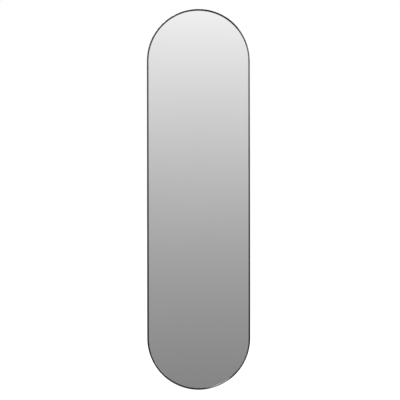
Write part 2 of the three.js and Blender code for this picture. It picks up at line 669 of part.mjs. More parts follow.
// Parts that travel the whole way out
function carriageAssembly() {
  const group = new THREE.Group();
  const seatedScrew = (name, grip, x, y, z) => {
    const mesh = place(name, domedScrew(screw, grip + rail.sheet + screw.railBite), finish.zinc, x, y, z);
    mesh.rotation.x = Math.PI;
    return mesh;
  };
  group.add(place('carriage_spine', carriageSpine(), finish.painted));
  for (const [end, z] of slides) {
    group.add(place(`${end}_inner_rail`, innerRail(), finish.zinc, innerRailRear, railBack, z));
    spineScrewPlaces().forEach((x, i) => group.add(
      seatedScrew(`${end}_${['rear', 'front'][i]}_spine_screw`, spine.thick, x, spineFront, z)));
    group.add(place(`${end}_stow_buffer`, stowBuffer(), finish.rubber, bufferPlace(), railFront, z));
    group.add(seatedScrew(`${end}_buffer_screw`, buffer.floor, bufferPlace(), railFront - buffer.floor, z));
  }
  const washerGap = bush.flangeThick + hinge.runGap;
  group.add(place('hinge_post', hingePost(), finish.steel, axisX, axisY, 0));
  const washerRise = knuckleEnd + washerGap;
  for (const [name, z] of [['upper', washerRise], ['lower', -washerRise - washer.thick]]) {
    group.add(place(`${name}_thrust_washer`, thrustWasher(), finish.nylon, axisX, axisY, z));
  }
  group.add(place('post_lock_nut', lockNut(), finish.zinc, axisX, axisY, -spineRise));
  return group;
}

// Parts that swing about the hinge post
function mirrorAssembly() {
  const group = new THREE.Group();
  group.add(place('mirror_frame', mirrorFrame(), finish.frame, mirrorMiddle, frameFront, 0));
  group.add(place('glass_seal', glassSeal(), finish.rubber, mirrorMiddle, glassFront, 0));
  group.add(place('mirror_glass', slab(paneInset, 0, -glass.thick), finish.mirror,
    mirrorMiddle, glassBack, 0));
  group.add(place('backing_board', backingBoard(), finish.board, mirrorMiddle, boardBack, 0));
  ['rear', 'middle', 'front'].forEach((name, i) => {
    const x = (i - 1) * tape.pitchShare * mirror.width;
    group.add(place(`${name}_foam_tape`, tapeStrip(x), finish.tape,
      mirrorMiddle + x, boardFront - tape.thick / 2, 0));
  });
  clipPlaces().forEach((spot, i) => {
    const nose = clipPoint(spot, frame.wall + clip.noseGap);
    const mesh = place(`retaining_clip_${i + 1}`, retainingClip(), finish.zinc,
      mirrorMiddle + nose.x, boardBack, nose.z);
    mesh.rotation.y = -spot.angle;
    group.add(mesh);
  });
  group.add(place('hinge_leaf', hingeLeaf(), finish.painted, 0, boardBack + leaf.thick, 0));
  leafScrewPlaces().forEach(({ x, z }, i) => group.add(place(`leaf_screw_${i + 1}`,
    domedScrew(screw, leaf.thick + screw.boardBite), finish.zinc, x, boardBack + leaf.thick, z)));
  for (const [name, z, flipped] of [
    ['upper_outer', knuckleEnd, false], ['upper_inner', knuckleStart, true],
    ['lower_inner', -knuckleStart, false], ['lower_outer', -knuckleEnd, true],
  ]) {
    const mesh = place(`${name}_hinge_bush`, hingeBush(), finish.nylon, axisX, axisY, z);
    if (flipped) mesh.rotation.x = Math.PI;
    group.add(mesh);
  }
  return group;
}

const slides = [['upper', railRise], ['lower', -railRise]];
const closetMirror = new THREE.Group();
closetMirror.add(wallAssembly(), runningParts(), carriageAssembly(), mirrorAssembly());

export default closetMirror;
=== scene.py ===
import json
import math
import random
import bpy
import bmesh
from mathutils import Matrix, Vector


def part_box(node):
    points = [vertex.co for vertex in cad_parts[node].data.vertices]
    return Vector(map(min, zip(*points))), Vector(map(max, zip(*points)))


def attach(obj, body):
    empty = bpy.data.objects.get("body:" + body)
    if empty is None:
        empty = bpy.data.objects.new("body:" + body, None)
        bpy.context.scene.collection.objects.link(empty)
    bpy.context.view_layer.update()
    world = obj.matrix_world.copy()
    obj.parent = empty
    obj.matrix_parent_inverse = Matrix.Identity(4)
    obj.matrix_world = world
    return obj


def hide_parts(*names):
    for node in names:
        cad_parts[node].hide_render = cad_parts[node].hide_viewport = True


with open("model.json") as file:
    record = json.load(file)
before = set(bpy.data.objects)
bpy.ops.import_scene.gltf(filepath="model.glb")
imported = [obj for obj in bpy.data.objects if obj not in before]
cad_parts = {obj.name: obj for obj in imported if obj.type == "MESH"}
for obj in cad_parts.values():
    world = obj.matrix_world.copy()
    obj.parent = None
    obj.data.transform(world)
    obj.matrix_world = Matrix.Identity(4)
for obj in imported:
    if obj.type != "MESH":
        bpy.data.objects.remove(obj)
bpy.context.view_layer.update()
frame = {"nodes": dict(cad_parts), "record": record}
nodes = frame["nodes"]
record = frame["record"]
scene = bpy.context.scene
mm = 0.001
dice = random.Random(7)
print("frame loaded,", len(nodes), "nodes")


# Small helpers for shader trees

def addNode(tree, kind, values=None, **settings):
    node = tree.nodes.new(kind)
    for key, value in settings.items():
        setattr(node, key, value)
    for name, value in (values or {}).items():
        node.inputs[name].default_value = value
    return node


def feed(tree, socket, value):  # a socket is linked, a plain value is set on the socket itself
    if isinstance(value, bpy.types.NodeSocket):
        tree.links.new(value, socket)
    elif value is not None:
        socket.default_value = value


def sums(tree, operation, a, b=None, clamp=False):
    node = addNode(tree, "ShaderNodeMath", operation=operation, use_clamp=clamp)
    feed(tree, node.inputs[0], a)
    feed(tree, node.inputs[1], b)
    return node.outputs[0]


def ramp(tree, value, low, high, outLow=0.0, outHigh=1.0):
    limits = {"From Min": low, "From Max": high, "To Min": outLow, "To Max": outHigh}
    node = addNode(tree, "ShaderNodeMapRange", limits, interpolation_type="SMOOTHSTEP")
    feed(tree, node.inputs["Value"], value)
    return node.outputs["Result"]


def mixColour(tree, share, a, b):
    node = addNode(tree, "ShaderNodeMix", data_type="RGBA")
    feed(tree, node.inputs[0], share)
    feed(tree, node.inputs[6], a)
    feed(tree, node.inputs[7], b)
    return node.outputs[2]


def newGroup(name, inputs, output):
    group = bpy.data.node_groups.new(name, "ShaderNodeTree")
    for label, kind, start in inputs:
        socket = group.interface.new_socket(label, in_out="INPUT", socket_type="NodeSocket" + kind)
        if start is not None:
            socket.default_value = start
    group.interface.new_socket(output, in_out="OUTPUT", socket_type="NodeSocketFloat")
    return group, group.nodes.new("NodeGroupInput").outputs, group.nodes.new("NodeGroupOutput").inputs


# Fine grain, stretched along one axis on rolled or brushed metal, even on castings and mouldings
def buildGrain():
    sockets = [("Vector", "Vector", None), ("Stretch", "Vector", (1, 1, 1)), ("Scale", "Float", 900.0),
               ("Detail", "Float", 3.0)]
    group, source, result = newGroup("grain", sockets, "Grain")
    stretched = addNode(group, "ShaderNodeVectorMath", operation="MULTIPLY")
    noise = addNode(group, "ShaderNodeTexNoise")
    feed(group, stretched.inputs[0], source["Vector"])
    feed(group, stretched.inputs[1], source["Stretch"])
    feed(group, noise.inputs["Vector"], stretched.outputs[0])
    feed(group, noise.inputs["Scale"], source["Scale"])
    feed(group, noise.inputs["Detail"], source["Detail"])
    feed(group, result["Grain"], ramp(group, noise.outputs["Fac"], 0.3, 0.7))
    return group


# Broad clouds: slow changes of tone and gloss over a whole sheet
def buildClouds():
    sockets = [("Vector", "Vector", None), ("Scale", "Float", 12.0)]
    group, source, result = newGroup("clouds", sockets, "Cloud")
    noise = addNode(group, "ShaderNodeTexNoise", {"Detail": 2.0, "Roughness": 0.45})
    feed(group, noise.inputs["Vector"], source["Vector"])
    feed(group, noise.inputs["Scale"], source["Scale"])
    feed(group, result["Cloud"], ramp(group, noise.outputs["Fac"], 0.32, 0.68))
    return group


# Crystals: the flat flakes of tone that zinc and pressed chips show
def buildFlakes():
    sockets = [("Vector", "Vector", None), ("Scale", "Float", 200.0)]
    group, source, result = newGroup("flakes", sockets, "Flake")
    cells = addNode(group, "ShaderNodeTexVoronoi", {"Randomness": 1.0}, feature="F1")
    feed(group, cells.inputs["Vector"], source["Vector"])
    feed(group, cells.inputs["Scale"], source["Scale"])
    tone = addNode(group, "ShaderNodeSeparateColor")
    feed(group, tone.inputs[0], cells.outputs["Color"])
    feed(group, result["Flake"], tone.outputs[0])
    return group


# Rubbed edges: the mesh marks its rounded edges, and noise breaks the mark up
def buildEdgeWear():
    sockets = [("Vector", "Vector", None), ("Edge", "Float", 0.0), ("Scale", "Float", 160.0),
               ("Amount", "Float", 0.5)]
    group, source, result = newGroup("edgeWear", sockets, "Wear")
    noise = addNode(group, "ShaderNodeTexNoise", {"Detail": 4.0, "Roughness": 0.6})
    feed(group, noise.inputs["Vector"], source["Vector"])
    feed(group, noise.inputs["Scale"], source["Scale"])
    reach = sums(group, "MULTIPLY", source["Edge"], source["Amount"])
    broken = sums(group, "ADD", noise.outputs["Fac"], reach)
    worn = ramp(group, broken, 0.62, 0.95)
    feed(group, result["Wear"], sums(group, "MULTIPLY", worn, source["Edge"], clamp=True))
    return group


# Dust: lies where a surface looks up
def buildDust():
    sockets = [("Vector", "Vector", None), ("Up", "Float", 0.0), ("Amount", "Float", 0.3)]
    group, source, result = newGroup("dust", sockets, "Dust")
    noise = addNode(group, "ShaderNodeTexNoise", {"Scale": 60.0, "Detail": 6.0, "Roughness": 0.65})
    feed(group, noise.inputs["Vector"], source["Vector"])
    lying = ramp(group, source["Up"], 0.2, 1.0)
    speckled = ramp(group, noise.outputs["Fac"], 0.35, 0.75)
    both = sums(group, "MULTIPLY", lying, speckled)
    feed(group, result["Dust"], sums(group, "MULTIPLY", both, source["Amount"], clamp=True))
    return group


# Scratches: long thin lines in two crossing directions, as handling leaves on sheet and board
def buildScratches():
    sockets = [("Vector", "Vector", None), ("Scale", "Float", 30.0)]
    group, source, result = newGroup("scratches", sockets, "Scratch")
    lines = []
    for slant, width in ((0.5, 0.04), (-0.9, 0.03)):
        placed = addNode(group, "ShaderNodeMapping", {"Rotation": (0, slant, 0), "Scale": (width, 1, 1)},
                         vector_type="TEXTURE")
        noise = addNode(group, "ShaderNodeTexNoise", {"Detail": 1.0, "Roughness": 0.4})
        feed(group, placed.inputs["Vector"], source["Vector"])
        feed(group, noise.inputs["Vector"], placed.outputs[0])
        feed(group, noise.inputs["Scale"], source["Scale"])
        lines.append(ramp(group, noise.outputs["Fac"], 0.735, 0.77))
    feed(group, result["Scratch"], sums(group, "ADD", lines[0], lines[1], clamp=True))
    return group


grainGroup = buildGrain()
cloudGroup = buildClouds()
flakeGroup = buildFlakes()
wearGroup = buildEdgeWear()
dustGroup = buildDust()
scratchGroup = buildScratches()


def grey(value):
    return (value, value, value, 1)


# The tone of lying dust, and how far dust and scratches dull a surface
dirt = {"dustTone": (0.5, 0.48, 0.45, 1), "dustHaze": 0.4, "scratchHaze": 0.05}


# The recipe that the finishes share: two tones in clouds, flecks, scratches, rubbed edges and dust in the
# colour, and the grain in the gloss and the relief
def mixFinish(finish):
    material = bpy.data.materials.new(finish["name"])
    material.use_nodes = True
    tree = material.node_tree
    tree.nodes.clear()
    place = addNode(tree, "ShaderNodeTexCoord").outputs["Object"]

    def placed(group, **values):
        node = addNode(tree, "ShaderNodeGroup", node_tree=group)
        feed(tree, node.inputs["Vector"], place)
        for name, value in values.items():
            feed(tree, node.inputs[name], value)
        return node.outputs[0]

    cloud = placed(cloudGroup, Scale=finish.get("cloudScale", 12.0))
    grain = placed(grainGroup, Stretch=finish.get("stretch", (1, 1, 1)), Scale=finish["grainScale"],
                   Detail=finish.get("grainDetail", 3.0))
    colour = mixColour(tree, cloud, finish["tone"], finish["secondTone"])
    rough = sums(tree, "MULTIPLY", grain, finish["glossSpread"])
    rough = sums(tree, "ADD", rough, finish["roughness"])
    if "fleck" in finish:
        flake = placed(flakeGroup, Scale=finish["fleckScale"])
        shown = sums(tree, "MULTIPLY", flake, finish["fleck"])
        colour = mixColour(tree, shown, colour, finish["fleckTone"])
        rough = sums(tree, "ADD", rough, sums(tree, "MULTIPLY", flake, finish.get("fleckGloss", 0.05)))
    if "scratch" in finish:
        scratch = placed(scratchGroup, Scale=finish.get("scratchScale", 30.0))
        depth = sums(tree, "MULTIPLY", scratch, finish["scratch"])
        colour = mixColour(tree, depth, colour, finish["scratchTone"])
        rough = sums(tree, "ADD", rough, sums(tree, "MULTIPLY", scratch, dirt["scratchHaze"]))
    if "wear" in finish:
        edge = addNode(tree, "ShaderNodeAttribute", attribute_name="edge").outputs["Fac"]
        wear = placed(wearGroup, Amount=finish["wear"], Edge=edge)
        colour = mixColour(tree, wear, colour, finish["wearTone"])
    if "dust" in finish:
        normal = addNode(tree, "ShaderNodeSeparateXYZ")
        feed(tree, normal.inputs[0], addNode(tree, "ShaderNodeNewGeometry").outputs["Normal"])
        dust = placed(dustGroup, Amount=finish["dust"], Up=normal.outputs["Z"])
        colour = mixColour(tree, dust, colour, dirt["dustTone"])
        rough = sums(tree, "ADD", rough, sums(tree, "MULTIPLY", dust, dirt["dustHaze"]), clamp=True)

    shader = addNode(tree, "ShaderNodeBsdfPrincipled", {"Metallic": finish["metallic"]})
    for name, value in finish.get("plain", {}).items():
        shader.inputs[name].default_value = value
    if "relief" in finish:
        bump = addNode(tree, "ShaderNodeBump", {"Strength": finish["relief"],
                                                "Distance": finish.get("reliefHeight", 0.05 * mm)})
        feed(tree, bump.inputs["Height"], grain)
        feed(tree, shader.inputs["Normal"], bump.outputs["Normal"])
    feed(tree, shader.inputs["Base Color"], colour)
    feed(tree, shader.inputs["Roughness"], rough)
    feed(tree, addNode(tree, "ShaderNodeOutputMaterial").inputs["Surface"], shader.outputs[0])
    return material


blackNickel = mixFinish({  # polished frame: dark plating, faintly brushed along the bend
    "name": "blackNickel", "tone": grey(0.05), "secondTone": grey(0.06), "metallic": 1.0, "roughness": 0.06,
    "grainScale": 420.0, "stretch": (1, 0.06, 1), "glossSpread": 0.05, "cloudScale": 9.0,
    "relief": 0.03, "reliefHeight": 0.02 * mm, "dust": 0.05,
})
silvering = mixFinish({  # the silver behind clean glass, with the least haze
    "name": "silvering", "tone": grey(0.888), "secondTone": grey(0.896),
    "metallic": 1.0, "roughness": 0.0, "grainScale": 40.0, "glossSpread": 0.012, "cloudScale": 5.0,
})
groundGlass = mixFinish({  # the pane's ground edge
    "name": "groundGlass", "tone": (0.2, 0.4, 0.34, 1), "secondTone": (0.3, 0.5, 0.44, 1), "metallic": 0.0,
    "roughness": 0.2, "grainScale": 700.0, "stretch": (1, 0.1, 1), "glossSpread": 0.2, "relief": 0.2,
})
backingPaint = mixFinish({  # the grey paint that seals the silver
    "name": "backingPaint", "tone": grey(0.3), "secondTone": grey(0.36), "metallic": 0.0, "roughness": 0.42,
    "grainScale": 260.0, "glossSpread": 0.12, "relief": 0.12, "cloudScale": 20.0,
})
sealRubber = mixFinish({
    "name": "sealRubber", "tone": grey(0.02), "secondTone": grey(0.032), "metallic": 0.0, "roughness": 0.58,
    "grainScale": 900.0, "glossSpread": 0.18, "relief": 0.3, "cloudScale": 60.0, "dust": 0.25,
})
mountingFoam = mixFinish({
    "name": "mountingFoam", "tone": (0.68, 0.67, 0.62, 1), "secondTone": (0.78, 0.76, 0.7, 1),
    "metallic": 0.0, "roughness": 0.82, "grainScale": 1500.0, "glossSpread": 0.12, "relief": 0.7,
    "reliefHeight": 0.2 * mm, "fleck": 0.25, "fleckScale": 1400.0, "fleckTone": (0.5, 0.48, 0.42, 1),
    "cloudScale": 30.0,
})
boardFoil = mixFinish({  # pressed dark foil on the board's faces
    "name": "boardFoil", "tone": (0.043, 0.044, 0.047, 1), "secondTone": (0.055, 0.056, 0.06, 1),
    "metallic": 0.0, "roughness": 0.4, "grainScale": 900.0, "grainDetail": 2.0, "glossSpread": 0.2,
    "relief": 0.5, "reliefHeight": 0.12 * mm, "fleck": 0.25, "fleckScale": 500.0,
    "fleckTone": (0.085, 0.086, 0.09, 1), "scratch": 0.2, "scratchTone": grey(0.14), "scratchScale": 12.0,
    "dust": 0.3, "wear": 0.25, "wearTone": (0.16, 0.13, 0.1, 1), "cloudScale": 5.0,
})
boardChips = mixFinish({  # raw pressed wood on the board's edge
    "name": "boardChips", "tone": (0.36, 0.25, 0.15, 1), "secondTone": (0.45, 0.33, 0.21, 1),
    "metallic": 0.0, "roughness": 0.72, "grainScale": 1600.0, "glossSpread": 0.2, "relief": 0.6,
    "reliefHeight": 0.15 * mm, "fleck": 0.45, "fleckScale": 700.0, "fleckTone": (0.2, 0.13, 0.075, 1),
    "cloudScale": 40.0,
})
powderCoat = mixFinish({  # fine orange peel on the pressed steel
    "name": "powderCoat", "tone": (0.15, 0.155, 0.162, 1), "secondTone": (0.172, 0.177, 0.184, 1),
    "metallic": 0.0, "roughness": 0.36, "grainScale": 950.0, "grainDetail": 1.0, "glossSpread": 0.16,
    "relief": 0.5, "reliefHeight": 0.1 * mm, "scratch": 0.25, "scratchTone": grey(0.34),
    "scratchScale": 16.0, "wear": 0.32, "wearTone": (0.46, 0.47, 0.49, 1), "dust": 0.25, "cloudScale": 8.0,
})
zincPlate = mixFinish({  # rolled sheet with bright zinc, drawn along the slide
    "name": "zincPlate", "tone": (0.54, 0.56, 0.59, 1), "secondTone": (0.64, 0.66, 0.68, 1),
    "metallic": 1.0, "roughness": 0.19, "grainScale": 420.0, "stretch": (0.04, 1, 1), "glossSpread": 0.04,
    "relief": 0.12, "fleck": 0.2, "fleckScale": 90.0, "fleckTone": (0.72, 0.74, 0.76, 1),
    "fleckGloss": 0.015, "scratch": 0.3, "scratchTone": grey(0.8), "wear": 0.35,
    "wearTone": (0.78, 0.79, 0.8, 1), "dust": 0.15, "cloudScale": 26.0,
})
zincScrew = mixFinish({  # the same plating on turned screws, nuts and rivets
    "name": "zincScrew", "tone": (0.56, 0.58, 0.6, 1), "secondTone": (0.66, 0.67, 0.69, 1), "metallic": 1.0,
    "roughness": 0.22, "grainScale": 1200.0, "glossSpread": 0.04, "relief": 0.04, "wear": 0.35,
    "wearTone": (0.8, 0.81, 0.82, 1), "dust": 0.12, "cloudScale": 240.0,
})
brightSteel = mixFinish({  # ground balls, strip and post
    "name": "brightSteel", "tone": (0.6, 0.6, 0.61, 1), "secondTone": (0.68, 0.68, 0.69, 1),
    "metallic": 1.0, "roughness": 0.09, "grainScale": 900.0, "stretch": (1, 1, 0.05), "glossSpread": 0.1,
    "relief": 0.06, "dust": 0.06, "cloudScale": 80.0,
})
whiteNylon = mixFinish({
    "name": "whiteNylon", "tone": (0.74, 0.72, 0.66, 1), "secondTone": (0.8, 0.78, 0.73, 1),
    "metallic": 0.0, "roughness": 0.34, "grainScale": 900.0, "glossSpread": 0.12, "relief": 0.2,
    "dust": 0.12, "cloudScale": 120.0,
    "plain": {"Subsurface Weight": 0.08, "Subsurface Scale": 0.5 * mm},
})
stopPlastic = mixFinish({
    "name": "stopPlastic", "tone": grey(0.026), "secondTone": grey(0.038), "metallic": 0.0,
    "roughness": 0.38, "grainScale": 1000.0, "glossSpread": 0.14, "relief": 0.35, "cloudScale": 60.0,
    "wear": 0.2, "wearTone": grey(0.09), "dust": 0.2,
})
slotFinish = {
    "frame_metal": blackNickel, "silvered_glass": silvering, "black_rubber": sealRubber,
    "foam_tape": mountingFoam, "dark_board": boardFoil, "painted_steel": powderCoat,
    "white_nylon": whiteNylon, "black_plastic": stopPlastic, "bright_steel": brightSteel,
    "zinc_steel": zincPlate,
}
print("finishes mixed:", len(bpy.data.materials))

# Helpers for meshes

weldGap = 0.0005 * mm
bodyOf = {node: body for body, members in record["behaviour"]["bodies"].items() for node in members}
slotOf = {entry["node"]: entry["material_slot"] for entry in record["subparts"]}


def madeVerts(geometry):
    return [item for item in geometry if isinstance(item, bmesh.types.BMVert)]


def madeEdges(geometry):
    return [item for item in geometry if isinstance(item, bmesh.types.BMEdge)]


def finishPiece(bm, name, replaced, materials=None, sharpAngle=38):
    bmesh.ops.remove_doubles(bm, verts=bm.verts, dist=weldGap)
    bmesh.ops.recalc_face_normals(bm, faces=bm.faces)
    mesh = bpy.data.meshes.new(name)
    bm.to_mesh(mesh)
    bm.free()
    for material in materials or [slotFinish[slotOf[replaced]]]:
        mesh.materials.append(material)
    mesh.polygons.foreach_set("use_smooth", [True] * len(mesh.polygons))
    mesh.set_sharp_from_angle(angle=math.radians(sharpAngle))
    piece = bpy.data.objects.new(name, mesh)
    scene.collection.objects.link(piece)
    weighted = piece.modifiers.new("weightedNormals", "WEIGHTED_NORMAL")
    weighted.keep_sharp = True
    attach(piece, bodyOf[replaced])
    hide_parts(replaced)


# Rounds edges and marks them for wear; the faces between them get a narrow border over which the mark fades
def roundEdges(bm, edges, width, segments=2, border=0.0):
    mark = bm.verts.layers.float.get("edge") or bm.verts.layers.float.new("edge")
    made = bmesh.ops.bevel(bm, geom=edges, offset=width, offset_type="OFFSET", affect="EDGES",
                           segments=segments, profile=0.5, material=-1, clamp_overlap=True)
    for vert in made["verts"]:
        vert[mark] = 1.0
    if border:
        rounded = set(made["faces"])
        plain = [face for face in bm.faces if face not in rounded]
        bmesh.ops.inset_region(bm, faces=plain, thickness=border, use_boundary=True, use_even_offset=False)
        for face in plain:
            for vert in face.verts:
                vert[mark] = 0.0


def sharpEdges(bm, degrees=35):
    return [edge for edge in bm.edges
            if len(edge.link_faces) == 2 and edge.calc_face_angle(0) > math.radians(degrees)]


# Turned shape: an outline of (radius, place along the axis), spun round an axis through the centre
def turn(bm, outline, centre, axis, steps=32, start=0.0):
    axis = Vector(axis)
    across = Matrix.Rotation(start, 3, axis) @ axis.orthogonal().normalized()
    verts = [bm.verts.new(Vector(centre) + across * radius + axis * along) for radius, along in outline]
    edges = [bm.edges.new(pair) for pair in zip(verts, verts[1:])]
    before = set(bm.faces)
    bmesh.ops.spin(bm, geom=verts + edges, cent=centre, axis=axis, angle=2 * math.pi, steps=steps,
                   use_merge=True, use_normal_flip=False, use_duplicate=False)
    bmesh.ops.remove_doubles(bm, verts=bm.verts, dist=weldGap)
    bmesh.ops.recalc_face_normals(bm, faces=bm.faces)
    return across, [face for face in bm.faces if face not in before]


def arcPoints(centre, radius, start, end, steps):
    turns = [math.radians(start + (end - start) * i / steps) for i in range(steps + 1)]
    return [(centre[0] + radius * math.cos(t), centre[1] + radius * math.sin(t)) for t in turns]


# The mirror's stadium outline, and a chain of section points carried round both ends and down both sides
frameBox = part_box("mirror_frame")
stadium = {
    "middle": (frameBox[0].x + frameBox[1].x) / 2,
    "radius": (frameBox[1].x - frameBox[0].x) / 2,
    "rise": (frameBox[1].z - frameBox[0].z - frameBox[1].x + frameBox[0].x) / 2,
    "endSteps": 96,
}


def sweepStadium(bm, section, closed):
    edge = stadium["middle"] + stadium["radius"]
    verts = [bm.verts.new((edge - inset, depth, stadium["rise"])) for inset, depth in section]
    pairs = list(zip(verts, verts[1:])) + ([(verts[-1], verts[0])] if closed else [])
    loop = verts + [bm.edges.new(pair) for pair in pairs]
    for side in (1, -1):
        spun = bmesh.ops.spin(bm, geom=loop, cent=(stadium["middle"], 0, side * stadium["rise"]),
                              axis=(0, -1, 0), angle=math.pi, steps=stadium["endSteps"], use_merge=False,
                              use_duplicate=False)
        if pairs:
            drawn = bmesh.ops.extrude_edge_only(bm, edges=madeEdges(spun["geom_last"]))["geom"]
        else:
            drawn = bmesh.ops.extrude_vert_indiv(bm, verts=spun["geom_last"])["verts"]
        moved = madeVerts(drawn)
        bmesh.ops.translate(bm, verts=moved, vec=(0, 0, -2 * side * stadium["rise"]))
        loop = moved + [e for e in madeEdges(drawn) if all(vert in moved for vert in e.verts)]
    bmesh.ops.remove_doubles(bm, verts=bm.verts, dist=weldGap)


def stadiumSlab(bm, inset, back, front):
    sweepStadium(bm, [(inset, back)], closed=False)
    face = bmesh.ops.contextual_create(bm, geom=list(bm.edges))["faces"]
    grown = bmesh.ops.extrude_face_region(bm, geom=face)["geom"]
    bmesh.ops.translate(bm, verts=madeVerts(grown), vec=(0, front - back, 0))
    return sharpEdges(bm, 60)


# Frame ring: slim crowned lip with a soft outer corner, side wall, and the bead rolled in behind
frameRing = {
    "lip": 5.4 * mm, "lipThick": 1.6 * mm, "lipRound": 0.35 * mm, "lipLean": 17, "corner": 2 * mm,
    "wall": 1.4 * mm, "bead": 1.4 * mm, "beadThick": 0.9 * mm, "rearRound": 0.3 * mm,
}


def buildFrameRing():
    p = frameRing
    front, rear = frameBox[0].y, frameBox[1].y
    lean = math.sin(math.radians(p["lipLean"]))
    crownRadius = (p["lip"] - p["corner"] - p["lipRound"] * (1 - lean)) / lean
    crown = arcPoints((p["corner"], front + crownRadius), crownRadius, -90, p["lipLean"] - 90, 5)
    inner = (p["lip"] - p["lipRound"], crown[-1][1] + p["lipRound"] * math.cos(math.radians(p["lipLean"])))
    beadEnd = p["wall"] + p["bead"]
    section = arcPoints((p["corner"], front + p["corner"]), p["corner"], 180, 270, 7)
    section += crown[1:] + arcPoints(inner, p["lipRound"], p["lipLean"] - 90, 0, 3)[1:]
    section += [(p["lip"], front + p["lipThick"]), (p["wall"], front + p["lipThick"]),
                (p["wall"], rear - p["beadThick"]), (beadEnd, rear - p["beadThick"])]
    section += arcPoints((beadEnd - p["rearRound"], rear - p["rearRound"]), p["rearRound"], 0, 90, 3)
    section += arcPoints((p["rearRound"], rear - p["rearRound"]), p["rearRound"], 90, 180, 3)
    bm = bmesh.new()
    sweepStadium(bm, section, closed=True)
    finishPiece(bm, "frame_ring", "mirror_frame", sharpAngle=42)


buildFrameRing()

# Mirror pane: ground at both rims, silver behind the front face and grey paint on the back
pane = {"arris": 0.4 * mm}


def buildPane():
    low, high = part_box("mirror_glass")
    bm = bmesh.new()
    rims = stadiumSlab(bm, low.x - frameBox[0].x, high.y, low.y)
    roundEdges(bm, rims, pane["arris"], 1)
    bmesh.ops.recalc_face_normals(bm, faces=bm.faces)
    for face in bm.faces:
        face.material_index = 0 if face.normal.y < -0.9 else 2 if face.normal.y > 0.9 else 1
    finishPiece(bm, "mirror_pane", "mirror_glass", [silvering, groundGlass, backingPaint])


buildPane()

# Rubber strip between the lip and the glass, with soft corners
sealStrip = {"setback": 0.4 * mm, "round": 0.2 * mm}


def buildSealStrip():
    low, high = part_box("glass_seal")
    inset, end = low.x - frameBox[0].x, frameRing["lip"] - sealStrip["setback"]
    soft = sealStrip["round"]
    section = [(inset, high.y), (inset, low.y + soft)]
    section += arcPoints((inset + soft, low.y + soft), soft, 180, 270, 3)[1:]
    section += arcPoints((end - soft, low.y + soft), soft, 270, 360, 3) + [(end, high.y)]
    bm = bmesh.new()
    sweepStadium(bm, section, closed=True)
    finishPiece(bm, "seal_strip", "glass_seal")


buildSealStrip()

# Board: foil on both faces, and raw pressed wood round its edge
board = {"rim": 0.5 * mm, "border": 0.8 * mm}


def buildBoard():
    low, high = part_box("backing_board")
    bm = bmesh.new()
    rims = stadiumSlab(bm, low.x - frameBox[0].x, high.y, low.y)
    roundEdges(bm, rims, board["rim"], 2, board["border"])
    bmesh.ops.recalc_face_normals(bm, faces=bm.faces)
    for face in bm.faces:
        face.material_index = 0 if abs(face.normal.y) > 0.9 else 1
    finishPiece(bm, "laminated_board", "backing_board", [boardFoil, boardChips])


buildBoard()

# Foam strips that bond the glass to the board, squeezed out a little at their long edges
tapeStrip = {"bulge": 0.18 * mm}


def buildTape(node):
    low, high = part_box(node)
    bm = bmesh.new()
    bmesh.ops.create_cube(bm, size=1.0)
    bmesh.ops.scale(bm, verts=bm.verts, vec=high - low - Vector((2 * tapeStrip["bulge"], 0, 0)))
    bmesh.ops.translate(bm, verts=bm.verts, vec=(low + high) / 2)
    long = [edge for edge in bm.edges if abs(edge.verts[0].co.z - edge.verts[1].co.z) > 1 * mm]
    walls = {face for edge in long for face in edge.link_faces if abs(face.normal.x) > 0.9}
    across = [edge for face in walls for edge in face.edges if edge not in long]
    bmesh.ops.subdivide_edges(bm, edges=across, cuts=3)
    middle = (low.y + high.y) / 2
    half = (high.y - low.y) / 2
    for vert in bm.verts:
        reach = 1 - ((vert.co.y - middle) / half) ** 2
        vert.co.x += math.copysign(tapeStrip["bulge"] * reach, vert.co.x - (low.x + high.x) / 2)
    finishPiece(bm, node + "_squeezed", node)


for name in ("front", "middle", "rear"):
    buildTape(name + "_foam_tape")
print("mirror stack made")


# Pressed, rolled and moulded pieces: the CAD node's own shape, its triangles joined into faces, with every
# edge rounded as the press or the mould leaves it
def dressPiece(node, width, border, segments=2, joinAngle=1.0, edgeAngle=50):
    bm = bmesh.new()
    bm.from_mesh(nodes[node].data)
    bmesh.ops.remove_doubles(bm, verts=bm.verts, dist=weldGap)
    bmesh.ops.dissolve_limit(bm, angle_limit=math.radians(joinAngle), verts=bm.verts, edges=bm.edges)
    roundEdges(bm, sharpEdges(bm, edgeAngle), width, segments, border)
    finishPiece(bm, node + "_dressed", node)


pressings = {"round": 0.35 * mm, "border": 0.5 * mm,
             "nodes": ["wall_plate", "carriage_spine", "hinge_leaf"]}
rolledRails = {"round": 0.15 * mm, "border": 0.25 * mm,
               "members": ["outer_rail", "middle_rail", "inner_rail"]}
moulded = {"round": 0.35 * mm, "border": 0.4 * mm, "nodes": ["upper_rail_stop", "lower_rail_stop"]}
ends = ("upper", "lower")

for node in pressings["nodes"]:
    dressPiece(node, pressings["round"], pressings["border"])
for node in [f"{end}_{member}" for end in ends for member in rolledRails["members"]]:
    dressPiece(node, rolledRails["round"], rolledRails["border"])
for node in moulded["nodes"]:
    dressPiece(node, moulded["round"], moulded["border"])
print("pressings, rails and mouldings dressed")

# Ball retainers: a strip with folded edges, and in each edge a row of balls in raised pockets
ballRow = {
    "ball": 2 * mm, "strip": 0.4 * mm, "margin": 0.5 * mm, "fold": 0.7 * mm, "balls": 5, "pitch": 30 * mm,
    "ballSteps": 20, "pocketWide": 0.35 * mm, "pocketThick": 0.3 * mm, "pocketGrip": 0.97,
}


